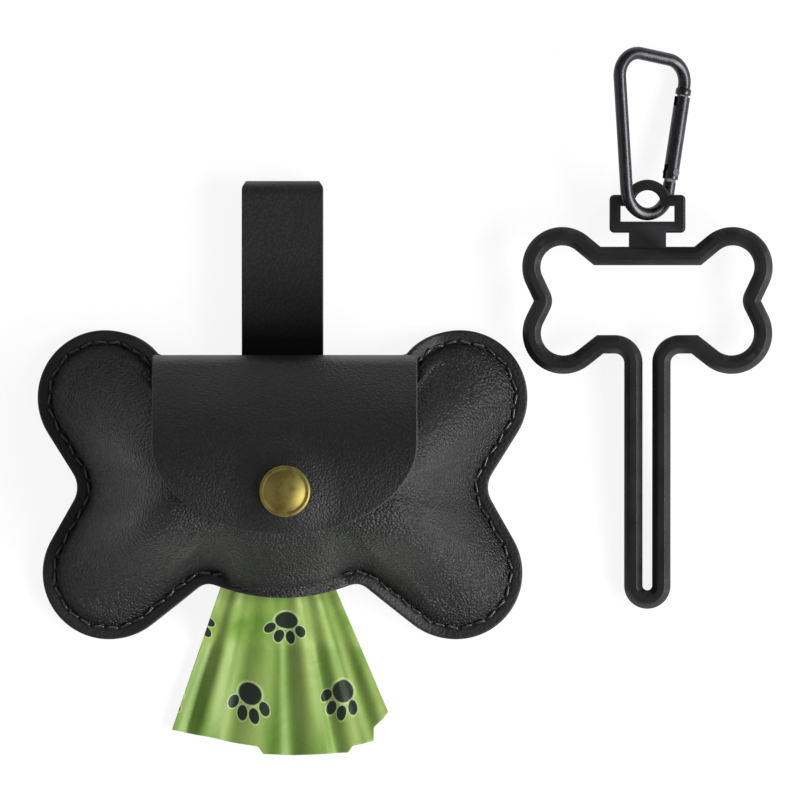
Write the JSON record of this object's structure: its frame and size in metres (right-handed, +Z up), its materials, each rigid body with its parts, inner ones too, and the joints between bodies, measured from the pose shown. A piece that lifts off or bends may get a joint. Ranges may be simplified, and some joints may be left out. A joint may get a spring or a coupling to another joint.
{
  "type": "dog waste bag dispenser",
  "caption": "Bone-shaped leather pouch with a snap flap and a belt-strap loop, holding a bag roll, with a bone-shaped bag carrier hung on a spring-gate hook.",
  "frame": {"origin": "on the table, under the middle of the whole set as it lies flat: the pouch on its back, the bag carrier beside it", "axes": "+Z up from the table, towards the pouch flap; +Y towards the strap and the hook, the top of the picture; +X from the pouch to the carrier"},
  "size_m": [0.1836, 0.177, 0.0411],
  "materials": {
    "leather_front": "pebbled grain, semi-gloss",
    "leather_back": "pebbled grain, semi-gloss",
    "leather_flap": "fine grain, satin",
    "leather_strap": "smooth, satin",
    "brass": "antique, satin",
    "thread": "waxed thread",
    "card": "raw card, matt",
    "film_roll": "thin film, satin",
    "film": "thin film, satin",
    "carrier_plastic": "moulded, matt",
    "anodised": "black anodised, glossy",
    "rivet_steel": "blackened",
    "spring_steel": "bright"
  },
  "bodies": {
    "pouch": {"back_panel": "leather_back", "front_panel": "leather_front", "pouch_snap_stud": "brass", "pouch_snap_post": "brass", "stitching_left": "thread", "stitching_right": "thread", "strap_root": "leather_strap", "strap_tab": "leather_strap", "strap_snap_cap": "brass", "strap_snap_socket": "brass", "strap_snap_stud": "brass", "strap_snap_post": "brass"},
    "flap": {"flap": "leather_flap", "flap_snap_cap": "brass", "flap_snap_socket": "brass"},
    "strap": {"strap_loop": "leather_strap"},
    "roll": {"roll_core": "card", "bag_roll": "film_roll"},
    "leading_bag": {"leading_bag": "film"},
    "carrier": {"bag_carrier": "carrier_plastic"},
    "carabiner": {"carabiner_body": "anodised", "gate_rivet": "rivet_steel"},
    "gate": {"carabiner_gate": "anodised", "gate_spring": "spring_steel", "gate_plunger": "spring_steel"}
  },
  "joints": [
    {"name": "flap_hinge", "type": "hinge", "parent": "pouch", "child": "flap", "pos_m": [-0.0306, 0.01125, 0.008], "axis": [-1, 0, 0], "range_deg": [0, 90]},
    {"name": "strap_swing", "type": "hinge", "parent": "pouch", "child": "strap", "pos_m": [-0.0306, 0.0124, 0.0064], "axis": [1, 0, 0], "range_deg": [0, 12]},
    {"name": "roll_spin", "type": "hinge", "parent": "pouch", "child": "roll", "pos_m": [-0.0306, -0.022, 0.02025], "axis": [-1, 0, 0], "range_deg": [0, 90]},
    {"name": "bag_pull", "type": "slide", "parent": "pouch", "child": "leading_bag", "axis": [0, -1, 0], "range_m": [0, 0.02]},
    {"name": "carrier_lift", "type": "slide", "parent": "pouch", "child": "carrier", "axis": [0, 0, 1], "range_m": [0, 0.05]},
    {"name": "carabiner_swing", "type": "hinge", "parent": "carrier", "child": "carabiner", "pos_m": [0.06055, 0.05293, 0.00862], "axis": [0.5878, 0, 0.809], "range_deg": [0, 25]},
    {"name": "gate_hinge", "type": "hinge", "parent": "carabiner", "child": "gate", "pos_m": [0.06649, 0.05685, 0.00431], "axis": [0.5878, 0, 0.809], "range_deg": [0, 25], "stiffness_Nm_per_rad": 0.02, "springref_deg": -22.92}
  ],
  "couplings": [
    {"joint": "bag_pull", "follows": "roll_spin", "m_per_rad": 0.012}
  ]
}
